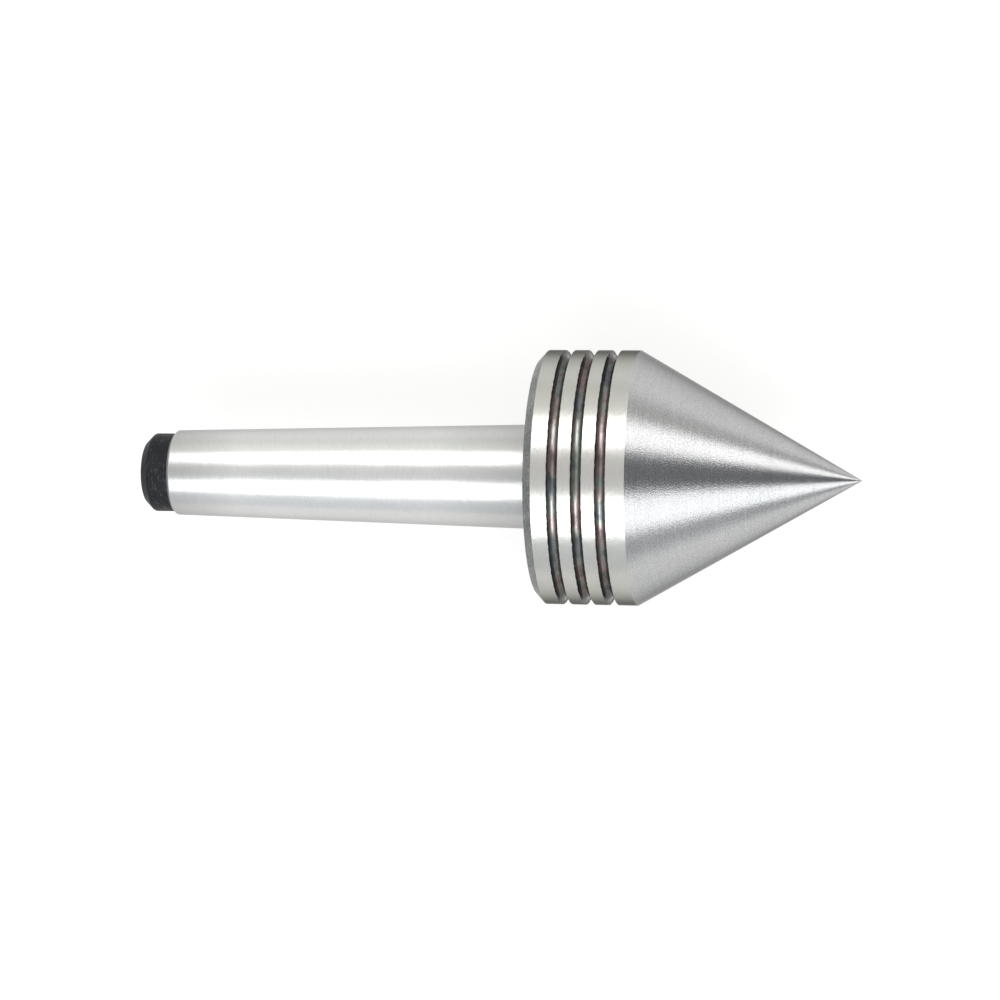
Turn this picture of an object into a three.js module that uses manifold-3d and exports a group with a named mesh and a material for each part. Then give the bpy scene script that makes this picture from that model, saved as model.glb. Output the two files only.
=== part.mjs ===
// A live (revolving) lathe center on a Morse taper no. 2 shank, in millimetres.
// X is the turning axis, with the 60-degree point towards +X. The origin is the centre of the taper's gauge
// plane. The arbor stands still in the tailstock. The steel head turns round its nose on two ball bearings and
// a thrust bearing, and one circlip in the head's mouth keeps it on.

import * as THREE from 'three';
import { mergeVertices } from 'three/addons/utils/BufferGeometryUtils.js';
import Module from 'manifold-3d';

const wasm = await Module();
wasm.setup();

// ---- Driving dimensions ----

const OVERALL_LENGTH = 125;
const HEAD_RADIUS = 43.7 / 2;
const POINT_HALF_ANGLE = THREE.MathUtils.degToRad(30);

const GAUGE_RADIUS = 17.78 / 2; // Morse taper no. 2 at its gauge plane
const TAPER_PER_MM = 0.04995 / 2; // radius lost for each millimetre towards the small end
const GAUGE_TO_END = 64;
const GAUGE_TO_HEAD = 6;
const TAPER_OVERRUN = 5; // the ground taper runs on this far past the gauge plane

const FIT = 0.08; // radial room of a ring on its journal or in its bore
const RACE_ROOM = 0.15; // room between a ball and its raceway
const POCKET_ROOM = 0.2; // room between a ball and its cage pocket
const FACE_ROOM = 0.05; // axial room between stacked faces
const WASHER_POCKET_ROOM = 0.15; // how much deeper than the housing washer its pocket in the head is
const DRILL_HALF_ANGLE = THREE.MathUtils.degToRad(59); // of the cone that a drill leaves under its hole

const HEAD_SIDES = 44;
const ARBOR_SIDES = 36;
const RING_SIDES = 28;
const POCKET_SIDES = 10;
const BALL_SIDES = 8;
const BALL_ROWS = 6;
const RACE_STEPS = 4;
const GROOVE_STEPS = 4;
const CIRCLIP_STEPS = 14;
const LUG_HOLE_STEPS = 4;

// Places along the nose are measured from the head's rear face, towards the point.
const REAR_BEARING = {
  name: 'rear_bearing', bore: 7.5, outer: 16, start: 2.6, width: 9,
  ball: 4.762 / 2, pitch: 11.75, count: 9, innerLand: 10.1, outerLand: 13.6,
  sealName: 'seal', sealOuter: 14.4, sealInner: 10.35, sealThick: 0.7, sealInset: 0.15, recess: 0.95,
  cageInner: 11.2, cageOuter: 12.3, cageHalf: 3,
};
const FRONT_BEARING = {
  name: 'front_bearing', bore: 4, outer: 11, start: 23.25, width: 7,
  ball: 3.969 / 2, pitch: 7.5, count: 7, innerLand: 6.1, outerLand: 9.2,
  sealName: 'shield', sealOuter: 9.9, sealInner: 6.35, sealThick: 0.5, sealInset: 0.15, recess: 0.75,
  cageInner: 7, cageOuter: 8, cageHalf: 2.5,
};
const THRUST_BEARING = {
  bore: 6, shaftWasherOuter: 12.9, housingWasherInner: 7, outer: 13, start: 13.65, washer: 3, height: 9,
  ball: 4.762 / 2, pitch: 9.75, count: 10, cageInner: 6.7, cageOuter: 12.8, cageThick: 1.2,
};

const HEAD_CHAMFER = { along: 1.45, across: 1.6 };
const GRIP_GROOVE = { count: 3, first: 4.2, pitch: 4, width: 1.75, depth: 1.3 };
const MOUTH_CHAMFER = 0.5;
const HEAD_CIRCLIP = {
  start: 1.2, thick: 1.2, grooveRadius: 16.85, grip: 16.7, inward: true,
  wide: 3.1, lug: 5.1, hole: 1.1, spread: 1,
};
const JOURNAL_CIRCLIP = {
  start: 11.7, thick: 1, grooveRadius: 7.15, grip: 7.22, inward: false,
  wide: 1.9, lug: 3.4, hole: 0.75, spread: 1,
};
const STUB_CIRCLIP = {
  start: 30.35, thick: 0.8, grooveRadius: 3.8, grip: 3.86, inward: false,
  wide: 1.3, lug: 2.4, hole: 0.5, spread: 1.3,
};
const CIRCLIP_SIDE_ROOM = 0.05;
const CIRCLIP_GAP = THREE.MathUtils.degToRad(16); // half of the open gap between the lugs
const CIRCLIP_LUG = THREE.MathUtils.degToRad(15); // the arc that one lug takes
const LUG_SHOULDER = 0.25; // a lug's foot runs under the body by this share of the lug's arc
const LUG_HOLE_PLACE = 0.6; // how far up the lug its hole lies
const BODY_THINNING = 0.25; // half of the share that the body loses beside the gap

const COLLAR = { radius: 8.8, end: 2.5, chamfer: 0.2 };
const JOURNAL_END = 13.6; // the 15 mm journal stops here and carries the thrust bearing's still washer
const THRUST_JOURNAL_END = 23.2;
const STUB_END = 32;
const STUB_CHAMFER = 0.4;
const THRUST_RELIEF_RADIUS = 13.5;
const NOSE_CAVITY = { radius: 7, start: 30.3, end: 33.4 };

const TAIL = { radius: 6.85, length: 5.05, chamfer: 1.5, shoulder: 0.5 };
const TAIL_CENTRE_HOLE = { mouth: 2.65, pilot: 1, depth: 5 };
const STUB_CENTRE_HOLE = { mouth: 1.3, pilot: 0.5, depth: 3.4 };

// ---- Worked out from them ----

const pointLength = HEAD_RADIUS / Math.tan(POINT_HALF_ANGLE);
const headLength = OVERALL_LENGTH - GAUGE_TO_END - GAUGE_TO_HEAD;
const cylinderLength = headLength - pointLength;
const alongNose = (place) => GAUGE_TO_HEAD + place;
const taperRadius = (x) => GAUGE_RADIUS + TAPER_PER_MM * x;

// ---- Materials ----

const steel = (color, roughness) => new THREE.MeshStandardMaterial({ color, roughness, metalness: 1 });
const groundSteel = steel('#c9cacb', 0.28);
const bearingSteel = steel('#d4d6d8', 0.15);
const pressedSteel = steel('#b0aea6', 0.4);
const springSteel = steel('#3a3a3c', 0.5);
const brass = steel('#b9965a', 0.35);
const nitrile = new THREE.MeshStandardMaterial({ color: '#1c1d1f', roughness: 0.7, metalness: 0 });

// ---- Shape helpers ----

const point = (radius, x) => new THREE.Vector2(radius, x);

// Turns a profile of (radius, x) points round the X axis. A profile runs towards +X on the outside.
function turned(profile, sides) {
  return new THREE.LatheGeometry(profile, sides).rotateZ(-Math.PI / 2);
}

function closed(profile) {
  return [...profile, profile[0].clone()];
}

// A flat plate, cut to a shape seen along X, from x to x + thick.
function plate(shape, x, thick, curveSegments) {
  return new THREE.ExtrudeGeometry(shape, { depth: thick, bevelEnabled: false, curveSegments })
    .rotateY(Math.PI / 2)
    .translate(x, 0, 0);
}

function ring(inner, outer, x, thick, sides = RING_SIDES) {
  const profile = [point(inner, x), point(outer, x), point(outer, x + thick), point(inner, x + thick)];
  return turned(closed(profile), sides);
}

function toSolid(geometry) {
  const bare = geometry.index ? geometry.toNonIndexed() : geometry.clone();
  bare.deleteAttribute('normal');
  bare.deleteAttribute('uv');
  const merged = mergeVertices(bare, 1e-3);
  return new wasm.Manifold(new wasm.Mesh({
    numProp: 3,
    vertProperties: merged.attributes.position.array,
    triVerts: new Uint32Array(merged.index.array),
  }));
}

function fromSolid(solid) {
  const mesh = solid.getMesh();
  return new THREE.BufferGeometry()
    .setAttribute('position', new THREE.BufferAttribute(new Float32Array(mesh.vertProperties), 3))
    .setIndex(new THREE.BufferAttribute(new Uint32Array(mesh.triVerts), 1));
}

// Points of a raceway's arc round a ball centre. side is -1 under the ball and 1 over it.
function racewayArc(pitch, centre, ball, land, side) {
  const radius = ball + RACE_ROOM;
  const half = Math.acos(Math.abs(pitch - land) / radius);
  return Array.from({ length: RACE_STEPS + 1 }, (_, i) => {
    const turn = half * (2 * i / RACE_STEPS - 1) * -side;
    return point(pitch + side * radius * Math.cos(turn), centre + radius * Math.sin(turn));
  });
}

const group = new THREE.Group();

function add(name, geometry, material) {
  const mesh = new THREE.Mesh(geometry, material);
  mesh.name = name;
  group.add(mesh);
  return mesh;
}

// ---- Arbor: tapered shank, collar and the nose that carries the bearings, one turned piece ----

function centreHole({ mouth, pilot, depth }, face, inward) {
  const coneDepth = (mouth - pilot) / Math.tan(POINT_HALF_ANGLE);
  return [
    point(0, face + inward * (depth + pilot / Math.tan(DRILL_HALF_ANGLE))),
    point(pilot, face + inward * depth),
    point(pilot, face + inward * coneDepth),
    point(mouth, face),
  ];
}

function circlipGroove(circlip, radius) {
  const start = alongNose(circlip.start);
  const end = start + circlip.thick + 2 * CIRCLIP_SIDE_ROOM;
  return [
    point(radius, start), point(circlip.grooveRadius, start),
    point(circlip.grooveRadius, end), point(radius, end),
  ];
}

function arbor() {
  const tailEnd = -GAUGE_TO_END;
  const tailTop = tailEnd + TAIL.length;
  const taperStart = tailTop + TAIL.shoulder;
  const stubEnd = alongNose(STUB_END);
  return turned([
    ...centreHole(TAIL_CENTRE_HOLE, tailEnd, 1),
    point(TAIL.radius - TAIL.chamfer, tailEnd),
    point(TAIL.radius, tailEnd + TAIL.chamfer),
    point(TAIL.radius, tailTop),
    point(taperRadius(taperStart), taperStart),
    point(taperRadius(TAPER_OVERRUN), TAPER_OVERRUN),
    point(COLLAR.radius, TAPER_OVERRUN + COLLAR.chamfer),
    point(COLLAR.radius, alongNose(COLLAR.end)),
    point(REAR_BEARING.bore, alongNose(COLLAR.end)),
    ...circlipGroove(JOURNAL_CIRCLIP, REAR_BEARING.bore),
    point(REAR_BEARING.bore, alongNose(JOURNAL_END)),
    point(THRUST_BEARING.bore, alongNose(JOURNAL_END)),
    point(THRUST_BEARING.bore, alongNose(THRUST_JOURNAL_END)),
    point(FRONT_BEARING.bore, alongNose(THRUST_JOURNAL_END)),
    ...circlipGroove(STUB_CIRCLIP, FRONT_BEARING.bore),
    point(FRONT_BEARING.bore, stubEnd - STUB_CHAMFER),
    point(FRONT_BEARING.bore - STUB_CHAMFER, stubEnd),
    ...centreHole(STUB_CENTRE_HOLE, stubEnd, -1).reverse(),
  ], ARBOR_SIDES);
}

// ---- Head: grooved cylinder and 60-degree point, bored from behind for its bearings ----

// A groove with a round bottom under short straight walls.
function gripGroove(index) {
  const radius = GRIP_GROOVE.width / 2;
  const centre = alongNose(GRIP_GROOVE.first + index * GRIP_GROOVE.pitch) + radius;
  const roundTop = HEAD_RADIUS - GRIP_GROOVE.depth + radius;
  const bottom = Array.from({ length: GROOVE_STEPS + 1 }, (_, i) => {
    const turn = Math.PI * i / GROOVE_STEPS;
    return point(roundTop - radius * Math.sin(turn), centre - radius * Math.cos(turn));
  });
  return [point(HEAD_RADIUS, centre - radius), ...bottom, point(HEAD_RADIUS, centre + radius)];
}

function headBore() {
  const rear = REAR_BEARING.outer + FIT;
  const thrust = THRUST_BEARING.outer + FIT;
  const front = FRONT_BEARING.outer + FIT;
  const rearEnd = alongNose(REAR_BEARING.start + REAR_BEARING.width + FACE_ROOM);
  const thrustEnd = alongNose(THRUST_BEARING.start + THRUST_BEARING.height + FACE_ROOM);
  const reliefEnd = thrustEnd - THRUST_BEARING.washer - WASHER_POCKET_ROOM;
  const cavityDrillDepth = NOSE_CAVITY.radius / Math.tan(DRILL_HALF_ANGLE);
  return [
    point(0, alongNose(NOSE_CAVITY.end) + cavityDrillDepth),
    point(NOSE_CAVITY.radius, alongNose(NOSE_CAVITY.end)),
    point(NOSE_CAVITY.radius, alongNose(NOSE_CAVITY.start)),
    point(front, alongNose(NOSE_CAVITY.start)),
    point(front, thrustEnd),
    point(thrust, thrustEnd),
    point(thrust, reliefEnd),
    point(THRUST_RELIEF_RADIUS, reliefEnd),
    point(THRUST_RELIEF_RADIUS, rearEnd),
    point(rear, rearEnd),
    ...circlipGroove(HEAD_CIRCLIP, rear).reverse(),
    point(rear, alongNose(MOUTH_CHAMFER)),
    point(rear + MOUTH_CHAMFER, alongNose(0)),
  ];
}

function head() {
  const grooves = Array.from({ length: GRIP_GROOVE.count }, (_, i) => gripGroove(i)).flat();
  return turned([
    ...headBore(),
    point(HEAD_RADIUS - HEAD_CHAMFER.across, alongNose(0)),
    point(HEAD_RADIUS, alongNose(HEAD_CHAMFER.along)),
    ...grooves,
    point(HEAD_RADIUS, alongNose(cylinderLength)),
    point(0, alongNose(headLength)),
  ], HEAD_SIDES);
}

// ---- Deep-groove ball bearings ----

function outerRing(b) {
  const start = alongNose(b.start);
  const end = start + b.width;
  const centre = start + b.width / 2;
  return turned(closed([
    point(b.outer, start), point(b.outer, end),
    point(b.sealOuter + FIT, end), point(b.sealOuter + FIT, end - b.recess), point(b.outerLand, end - b.recess),
    ...racewayArc(b.pitch, centre, b.ball, b.outerLand, 1),
    point(b.outerLand, start + b.recess), point(b.sealOuter + FIT, start + b.recess),
    point(b.sealOuter + FIT, start),
  ]), RING_SIDES);
}

function innerRing(b) {
  const start = alongNose(b.start);
  const end = start + b.width;
  return turned(closed([
    point(b.bore + FIT, start), point(b.innerLand, start),
    ...racewayArc(b.pitch, start + b.width / 2, b.ball, b.innerLand, -1),
    point(b.innerLand, end), point(b.bore + FIT, end),
  ]), RING_SIDES);
}

function bandCage(b) {
  const centre = alongNose(b.start) + b.width / 2;
  let band = toSolid(ring(b.cageInner, b.cageOuter, centre - b.cageHalf, 2 * b.cageHalf));
  for (let i = 0; i < b.count; i++) {
    const drill = new THREE.CylinderGeometry(b.ball + POCKET_ROOM, b.ball + POCKET_ROOM, b.outer, POCKET_SIDES)
      .translate(0, b.outer / 2, 0)
      .rotateX(2 * Math.PI * i / b.count)
      .translate(centre, 0, 0);
    band = band.subtract(toSolid(drill));
  }
  return fromSolid(band);
}

function addBalls(prefix, { ball, pitch, count }, centre) {
  for (let i = 0; i < count; i++) {
    const turn = 2 * Math.PI * i / count;
    const sphere = new THREE.SphereGeometry(ball, BALL_SIDES, BALL_ROWS);
    add(`${prefix}_ball_${i + 1}`, sphere, bearingSteel)
      .position.set(centre, pitch * Math.cos(turn), pitch * Math.sin(turn));
  }
}

function addRadialBearing(b, sealMaterial) {
  const start = alongNose(b.start);
  const end = start + b.width;
  const rearSeal = start + b.sealInset;
  const frontSeal = end - b.sealInset - b.sealThick;
  add(`${b.name}_outer_ring`, outerRing(b), bearingSteel);
  add(`${b.name}_inner_ring`, innerRing(b), bearingSteel);
  add(`${b.name}_cage`, bandCage(b), pressedSteel);
  add(`${b.name}_rear_${b.sealName}`, ring(b.sealInner, b.sealOuter, rearSeal, b.sealThick), sealMaterial);
  add(`${b.name}_front_${b.sealName}`, ring(b.sealInner, b.sealOuter, frontSeal, b.sealThick), sealMaterial);
  addBalls(b.name, b, start + b.width / 2);
}

// ---- Thrust ball bearing ----

// Points of a washer's raceway, from the larger radius to the smaller. side is 1 on the washer behind the balls
// and -1 on the one ahead of them.
function thrustRaceway(face, centre, side) {
  const t = THRUST_BEARING;
  const radius = t.ball + RACE_ROOM;
  const half = Math.acos(Math.abs(centre - face) / radius);
  return Array.from({ length: RACE_STEPS + 1 }, (_, i) => {
    const turn = half * (1 - 2 * i / RACE_STEPS);
    return point(t.pitch + radius * Math.sin(turn), centre - side * radius * Math.cos(turn));
  });
}

function addThrustBearing() {
  const t = THRUST_BEARING;
  const start = alongNose(t.start);
  const end = start + t.height;
  const centre = start + t.height / 2;
  const shaftFace = start + t.washer;
  const housingFace = end - t.washer;
  add('thrust_bearing_shaft_washer', turned(closed([
    point(t.bore + FIT, start), point(t.shaftWasherOuter, start), point(t.shaftWasherOuter, shaftFace),
    ...thrustRaceway(shaftFace, centre, 1),
    point(t.bore + FIT, shaftFace),
  ]), RING_SIDES), bearingSteel);
  add('thrust_bearing_housing_washer', turned(closed([
    point(t.housingWasherInner, housingFace),
    ...thrustRaceway(housingFace, centre, -1).reverse(),
    point(t.outer, housingFace), point(t.outer, end), point(t.housingWasherInner, end),
  ]), RING_SIDES), bearingSteel);
  add('thrust_bearing_cage', thrustCage(centre), brass);
  addBalls('thrust_bearing', t, centre);
}

function thrustCage(centre) {
  const t = THRUST_BEARING;
  const shape = new THREE.Shape().absarc(0, 0, t.cageOuter, 0, 2 * Math.PI);
  shape.holes.push(new THREE.Path().absarc(0, 0, t.cageInner, 0, 2 * Math.PI, true));
  let cage = toSolid(plate(shape, centre - t.cageThick / 2, t.cageThick, RING_SIDES / 2));
  for (let i = 0; i < t.count; i++) {
    const turn = 2 * Math.PI * i / t.count;
    const drill = new THREE.CylinderGeometry(t.ball + POCKET_ROOM, t.ball + POCKET_ROOM, t.height, POCKET_SIDES)
      .rotateZ(Math.PI / 2)
      .translate(centre, t.pitch * Math.cos(turn), t.pitch * Math.sin(turn));
    cage = cage.subtract(toSolid(drill));
  }
  return fromSolid(cage);
}

// ---- Circlips ----

// The outline of a circlip with its gap at the top. grip is the radius that touches the groove, and inward says
// whether the ring's body and lugs lie inside that radius, as in a bore, or outside it, as on a shaft. spread
// makes the gap and the lugs of a small ring take more of its turn.
function circlipShape({ grip, inward, wide, lug, hole, spread }) {
  const side = inward ? -1 : 1;
  const gap = CIRCLIP_GAP * spread;
  const lugArc = CIRCLIP_LUG * spread;
  const top = Math.PI / 2;
  const at = (radius, angle) => new THREE.Vector2(radius * Math.cos(angle), radius * Math.sin(angle));
  const first = top + gap;
  const last = top + 2 * Math.PI - gap;
  const bodyFirst = first + (1 + LUG_SHOULDER) * lugArc;
  const bodyLast = last - (1 + LUG_SHOULDER) * lugArc;
  const outline = [];
  for (let i = 0; i <= 2 * CIRCLIP_STEPS; i++) {
    outline.push(at(grip, first + (last - first) * i / (2 * CIRCLIP_STEPS)));
  }
  outline.push(at(grip + side * lug, last), at(grip + side * lug, last - lugArc));
  for (let i = 0; i <= CIRCLIP_STEPS; i++) {
    const angle = bodyLast + (bodyFirst - bodyLast) * i / CIRCLIP_STEPS;
    const thin = BODY_THINNING * (1 + Math.cos(angle - top));
    outline.push(at(grip + side * wide * (1 - thin), angle));
  }
  outline.push(at(grip + side * lug, first + lugArc), at(grip + side * lug, first));
  const shape = new THREE.Shape(inward ? outline : outline.reverse());
  for (const angle of [first + lugArc / 2, last - lugArc / 2]) {
    const centre = at(grip + side * lug * LUG_HOLE_PLACE, angle);
    shape.holes.push(new THREE.Path().absarc(centre.x, centre.y, hole, 0, 2 * Math.PI, true));
  }
  return shape;
}

function addCirclip(name, circlip) {
  const start = alongNose(circlip.start) + CIRCLIP_SIDE_ROOM;
  add(name, plate(circlipShape(circlip), start, circlip.thick, LUG_HOLE_STEPS), springSteel);
}

// ---- The assembly ----

add('tapered_shank', arbor(), groundSteel);
add('head_cone', head(), groundSteel);
addCirclip('head_circlip', HEAD_CIRCLIP);
addRadialBearing(REAR_BEARING, nitrile);
addCirclip('journal_circlip', JOURNAL_CIRCLIP);
addThrustBearing();
addRadialBearing(FRONT_BEARING, pressedSteel);
addCirclip('stub_circlip', STUB_CIRCLIP);

export default group;
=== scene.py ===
"""The looks of a revolving lathe center on a Morse taper no. 2 shank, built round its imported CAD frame.

X is the turning axis, with the point towards +X. The frame's solids have flat sides, so every turned piece is
lathed again here from a rounded outline. Lengths are in millimetres until a mesh is made from them.
"""

import math

import bmesh
import bpy
from mathutils import Matrix, Vector, noise


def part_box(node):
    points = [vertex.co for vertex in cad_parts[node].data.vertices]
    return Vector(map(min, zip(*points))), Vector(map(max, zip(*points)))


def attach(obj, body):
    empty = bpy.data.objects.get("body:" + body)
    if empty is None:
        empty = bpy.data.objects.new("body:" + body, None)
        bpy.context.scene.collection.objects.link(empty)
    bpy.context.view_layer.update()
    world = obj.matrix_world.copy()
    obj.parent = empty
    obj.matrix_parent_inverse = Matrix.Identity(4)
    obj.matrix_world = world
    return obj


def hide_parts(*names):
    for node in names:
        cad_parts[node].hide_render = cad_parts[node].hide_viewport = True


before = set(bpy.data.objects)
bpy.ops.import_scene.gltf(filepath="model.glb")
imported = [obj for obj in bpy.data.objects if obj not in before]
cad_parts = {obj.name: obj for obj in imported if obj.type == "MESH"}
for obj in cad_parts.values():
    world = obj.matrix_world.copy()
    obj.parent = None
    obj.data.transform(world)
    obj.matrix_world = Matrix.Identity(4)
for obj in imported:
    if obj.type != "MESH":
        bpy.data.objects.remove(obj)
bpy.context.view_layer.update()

MM = 0.001

# ---- Places and sizes taken from the frame ----

head_low, head_high = (corner / MM for corner in map(Vector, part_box("head_cone")))
shank_low, shank_high = (corner / MM for corner in map(Vector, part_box("tapered_shank")))

HEAD_REAR = head_low.x
POINT = head_high.x
HEAD_RADIUS = head_high.y
SHANK_END = shank_low.x
STUB_END = shank_high.x

# ---- Sizes of the turned shapes, as the CAD part has them ----

POINT_HALF_ANGLE = math.radians(30)
CONE_EDGE = POINT - HEAD_RADIUS / math.tan(POINT_HALF_ANGLE)
CONE_EDGE_FILLET = 0.12
TIP_ROUND = 0.1
TIP_FILLET = 0.03

# The radius at the gauge plane, where X is 0, and how much it grows per millimetre along X.
GAUGE_RADIUS = 8.89
TAPER = 0.024975
TAPER_OVERRUN = 5
COLLAR_STEP = 0.2

HEAD_CHAMFER_ALONG = 1.45
HEAD_CHAMFER_ACROSS = 1.6
HEAD_CHAMFER_FILLETS = (0.25, 0.2)
MOUTH_CHAMFER = 0.5
GROOVES = [4.2, 8.2, 12.2]
GROOVE_WIDTH = 1.75
GROOVE_DEPTH = 1.3
GROOVE_STEPS = 5

# A center hole's cone and depth are measured from its mouth, and its tip from the end of its pilot.
TAIL_RADIUS = 6.85
TAIL_LENGTH = 5.05
TAIL_CHAMFER = 1.5
TAIL_FILLETS = (0.4, 0.6)
TAIL_SHOULDER = 0.5
SHOULDER_FILLET = 0.3
TAIL_CENTRE_HOLE = {"mouth": 2.65, "pilot": 1, "cone": 2.86, "depth": 5, "tip": 0.6}
STUB_CENTRE_HOLE = {"mouth": 1.3, "pilot": 0.5, "cone": 1.39, "depth": 3.4, "tip": 0.3}
STUB_CHAMFER = 0.4

# Places along the nose, and the start of each bearing and circlip, are from the head's rear face.
COLLAR_RADIUS = 8.8
COLLAR_END = 2.5
JOURNAL_END = 13.6
THRUST_JOURNAL_END = 23.2
THRUST_RELIEF_RADIUS = 13.5
CAVITY_RADIUS = 7
CAVITY_START = 30.3
CAVITY_END = 33.4
CAVITY_TIP = 37.6

FIT = 0.08
FACE_ROOM = 0.05
RACE_ROOM = 0.06

REAR_BEARING = {
    "name": "rear_bearing", "cage_body": "rear_cage", "bore": 7.5, "outer": 16, "start": 2.6, "width": 9,
    "ball": 2.381, "pitch": 11.75, "count": 9, "inner_land": 10.1, "outer_land": 13.6,
    "seal_outer": 14.4, "seal_inner": 10.35, "seal_thick": 0.7, "seal_inset": 0.15, "recess": 0.95,
    "cage_inner": 11.2, "cage_outer": 12.3,
}
FRONT_BEARING = {
    "name": "front_bearing", "cage_body": "front_cage", "bore": 4, "outer": 11, "start": 23.25, "width": 7,
    "ball": 1.9845, "pitch": 7.5, "count": 7, "inner_land": 6.1, "outer_land": 9.2,
    "seal_outer": 9.9, "seal_inner": 6.35, "seal_thick": 0.5, "seal_inset": 0.15, "recess": 0.75,
    "cage_inner": 7, "cage_outer": 8,
}
THRUST_BEARING = {
    "name": "thrust_bearing", "cage_body": "thrust_cage", "bore": 6, "shaft_outer": 12.9, "housing_inner": 7,
    "outer": 13, "start": 13.65, "washer": 3, "height": 9, "ball": 2.381, "pitch": 9.75, "count": 10,
    "cage_inner": 6.7, "cage_outer": 12.8, "cage_thick": 1.2,
}

# groove is the radius of the bottom of a circlip's groove, and grip that of its own edge in the groove. side
# is the way from that edge to the lugs, -1 inwards. wide and lug are how far the body and the lugs reach from
# that edge, hole is the radius of the lugs' holes, and spread widens the gap and the lugs.
HEAD_CIRCLIP = {
    "name": "head_circlip", "body": "head", "start": 1.2, "thick": 1.2, "groove": 16.85, "grip": 16.7,
    "side": -1, "wide": 3.1, "lug": 5.1, "hole": 1.1, "spread": 1,
}
JOURNAL_CIRCLIP = {
    "name": "journal_circlip", "body": "arbor", "start": 11.7, "thick": 1, "groove": 7.15, "grip": 7.22,
    "side": 1, "wide": 1.9, "lug": 3.4, "hole": 0.75, "spread": 1,
}
STUB_CIRCLIP = {
    "name": "stub_circlip", "body": "arbor", "start": 30.35, "thick": 0.8, "groove": 3.8, "grip": 3.86,
    "side": 1, "wide": 1.3, "lug": 2.4, "hole": 0.5, "spread": 1.3,
}
CIRCLIP_ROOM = 0.05

# ---- Fineness of the meshes ----

HEAD_SEGMENTS = 540
SHANK_SEGMENTS = 256
RING_SEGMENTS = 160
BALL_SUBDIVISIONS = 4
BEVEL_STEPS = 2
HOLE_STEPS_LEAST = 24
HOLE_STEPS_PER_MM = 12
WELD_REACH = 0.0005
SHARP_TURN = math.radians(35)
FILLET_TURN = math.radians(20)
EDGE = 0.07
ON_AXIS = 1e-6
LEAST_BEND = 1e-6
FILLET_SHARE = 0.49


def nose(place):
    """A place along the nose, given from the head's rear face, as a place on X."""
    return HEAD_REAR + place


# ---- Camera ----

CAMERA_TILT = math.radians(9.83)
CAMERA_ROLL = math.radians(0.785)
CAMERA_DISTANCE = 507.6 * MM
CAMERA_LENS = 106.09
CAMERA_AIM_RIGHT = -7.126 * MM
CAMERA_AIM_UP = -3.987 * MM


def camera_axes():
    """The camera's right, up and backward directions. It looks down on the part, with the point nearer."""
    back = Vector((math.sin(CAMERA_TILT), 0, math.cos(CAMERA_TILT)))
    level = Vector((math.cos(CAMERA_TILT), 0, -math.sin(CAMERA_TILT)))
    across = Vector((0, 1, 0))
    right = level * math.cos(CAMERA_ROLL) + across * math.sin(CAMERA_ROLL)
    up = across * math.cos(CAMERA_ROLL) - level * math.sin(CAMERA_ROLL)
    return right, up, back


def facing(right, up, back):
    """The rotation of a camera or light whose own axes point along these directions."""
    return Matrix((right, up, back)).transposed().to_4x4()


def add_camera():
    right, up, back = camera_axes()
    data = bpy.data.cameras.new("camera")
    data.lens = CAMERA_LENS
    camera = bpy.data.objects.new("camera", data)
    aim = Vector((HEAD_REAR * MM, 0, 0)) + right * CAMERA_AIM_RIGHT + up * CAMERA_AIM_UP
    camera.matrix_world = Matrix.Translation(aim + back * CAMERA_DISTANCE) @ facing(right, up, back)
    bpy.context.scene.collection.objects.link(camera)
    bpy.context.scene.camera = camera


# ---- Colours and nodes ----


def grey(level):
    return level, level, level


def shades(color, low, high):
    return [tuple(channel * share for channel in color) for share in (low, high)]


class Nodes:
    """A node tree, with short calls for the nodes that the studio and the finishes share."""

    def __init__(self, tree):
        self.tree = tree

    def feed(self, socket, value):
        if isinstance(value, bpy.types.NodeSocket):
            self.tree.links.new(value, socket)
        else:
            socket.default_value = value

    def along(self, place, direction):
        """How far a place lies along a direction."""
        node = self.tree.nodes.new("ShaderNodeVectorMath")
        node.operation = "DOT_PRODUCT"
        self.feed(node.inputs[0], place)
        self.feed(node.inputs[1], direction)
        return node.outputs["Value"]

    def range(self, value, low, high, to_low=0, to_high=1, kind="LINEAR"):
        node = self.tree.nodes.new("ShaderNodeMapRange")
        node.interpolation_type = kind
        for socket, number in zip(list(node.inputs)[:5], (value, low, high, to_low, to_high)):
            self.feed(socket, number)
        return node.outputs["Result"]

    def ramp(self, value, stops):
        node = self.tree.nodes.new("ShaderNodeValToRGB")
        elements = node.color_ramp.elements
        while len(elements) < len(stops):
            elements.new(0.5)
        for element, (position, color) in zip(elements, stops):
            element.position = position
            element.color = (*color, 1)
        self.feed(node.inputs["Fac"], value)
        return node.outputs["Color"]

    def blend(self, kind, factor, first, second):
        node = self.tree.nodes.new("ShaderNodeMix")
        node.data_type = "RGBA"
        node.blend_type = kind
        self.feed(node.inputs["Factor"], factor)
        self.feed(node.inputs[6], first)
        self.feed(node.inputs[7], second)
        return node.outputs[2]


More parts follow.
